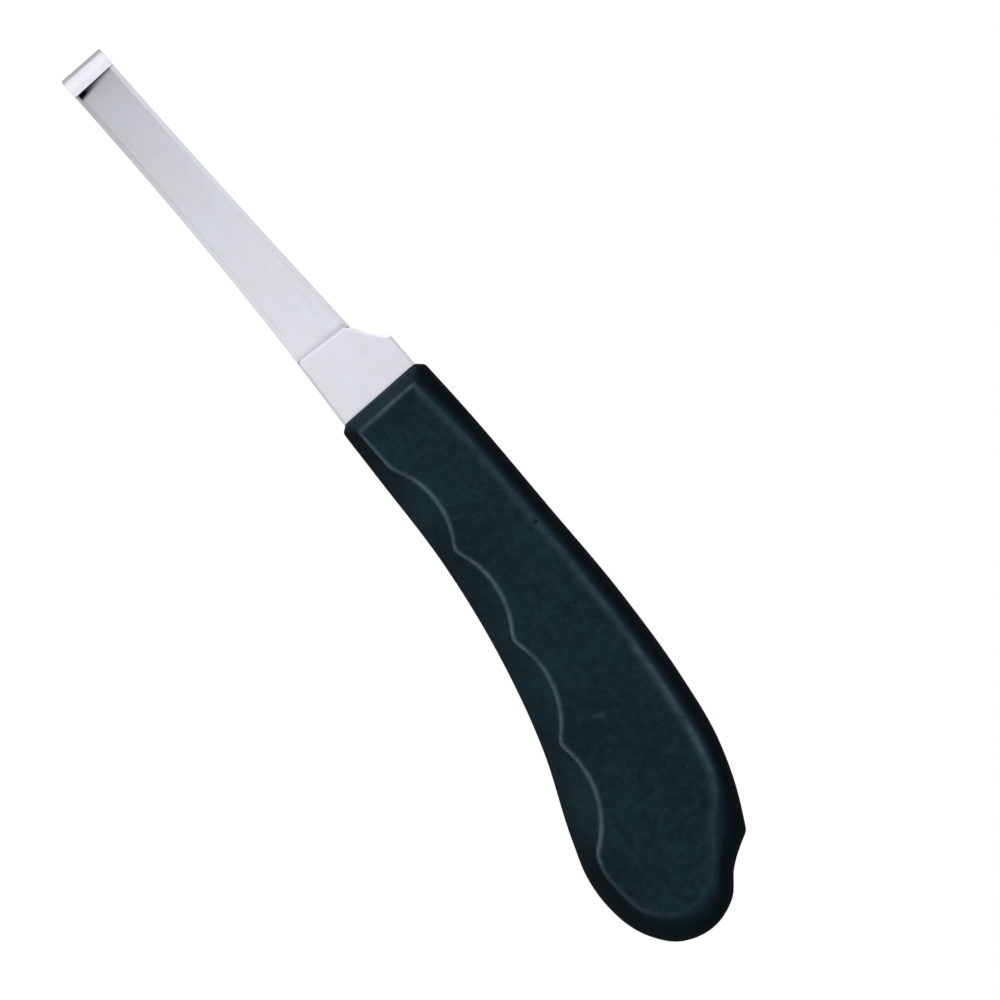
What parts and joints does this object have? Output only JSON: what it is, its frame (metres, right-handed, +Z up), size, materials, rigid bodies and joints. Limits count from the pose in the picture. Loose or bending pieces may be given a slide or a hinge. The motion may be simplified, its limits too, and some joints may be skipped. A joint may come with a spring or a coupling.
{
  "type": "hoof knife",
  "caption": "Farrier's hoof knife: a narrow bowed steel blade with a curled hook at its tip, in a curved two-shell moulded grip with finger scoops.",
  "frame": {"origin": "on the grip's flat back face, under the line that the blade runs along, 63 mm behind the grip's mouth", "axes": "+X along the blade towards its hook, +Y towards the finger scoops, +Z up out of the face that the grip lies on, the way the hook curls"},
  "size_m": [0.2223, 0.0467, 0.0249],
  "materials": {
    "blade_steel": "satin stainless steel, finely ground along the blade, with brighter bevels at both edges",
    "grip_plastic": "black moulded plastic with a cool blue-green tint and a fine satin texture",
    "pin_steel": "plain drawn steel, hidden inside the grip"
  },
  "bodies": {
    "root": {"blade": "blade_steel", "handle_top_shell": "grip_plastic", "handle_bottom_shell": "grip_plastic", "tang_pin_front": "pin_steel", "tang_pin_rear": "pin_steel", "tail_dowel": "pin_steel"}
  },
  "joints": []
}
